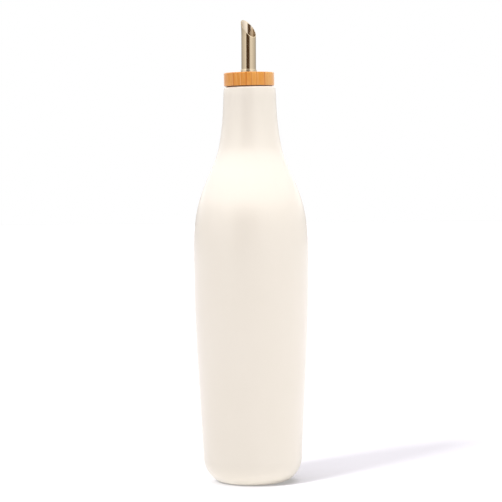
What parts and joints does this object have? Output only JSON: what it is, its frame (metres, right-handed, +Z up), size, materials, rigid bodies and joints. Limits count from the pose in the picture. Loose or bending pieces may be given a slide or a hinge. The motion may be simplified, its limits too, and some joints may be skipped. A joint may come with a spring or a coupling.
{
  "type": "ceramic oil dispenser",
  "caption": "Tall round ceramic bottle with a soft shoulder and narrow neck, closed by a wooden cap that carries a slanted steel pour tube.",
  "frame": {"origin": "centre of the bottle's foot, on the surface it stands on", "axes": "+Z up along the bottle's axis to the pour tube, +X to the viewer's right in the picture, -Y towards the viewer"},
  "size_m": [0.075, 0.075, 0.3027],
  "materials": {
    "glaze": "satin cream glaze",
    "plug_rubber": "matt dark brown",
    "cap_wood": "smooth, lightly oiled, upright grain",
    "spout_steel": "polished steel"
  },
  "bodies": {
    "root": {"ceramic_bottle": "glaze", "stopper_plug": "plug_rubber", "wooden_cap": "cap_wood", "spout_collar": "spout_steel", "spout_tube": "spout_steel"}
  },
  "joints": []
}
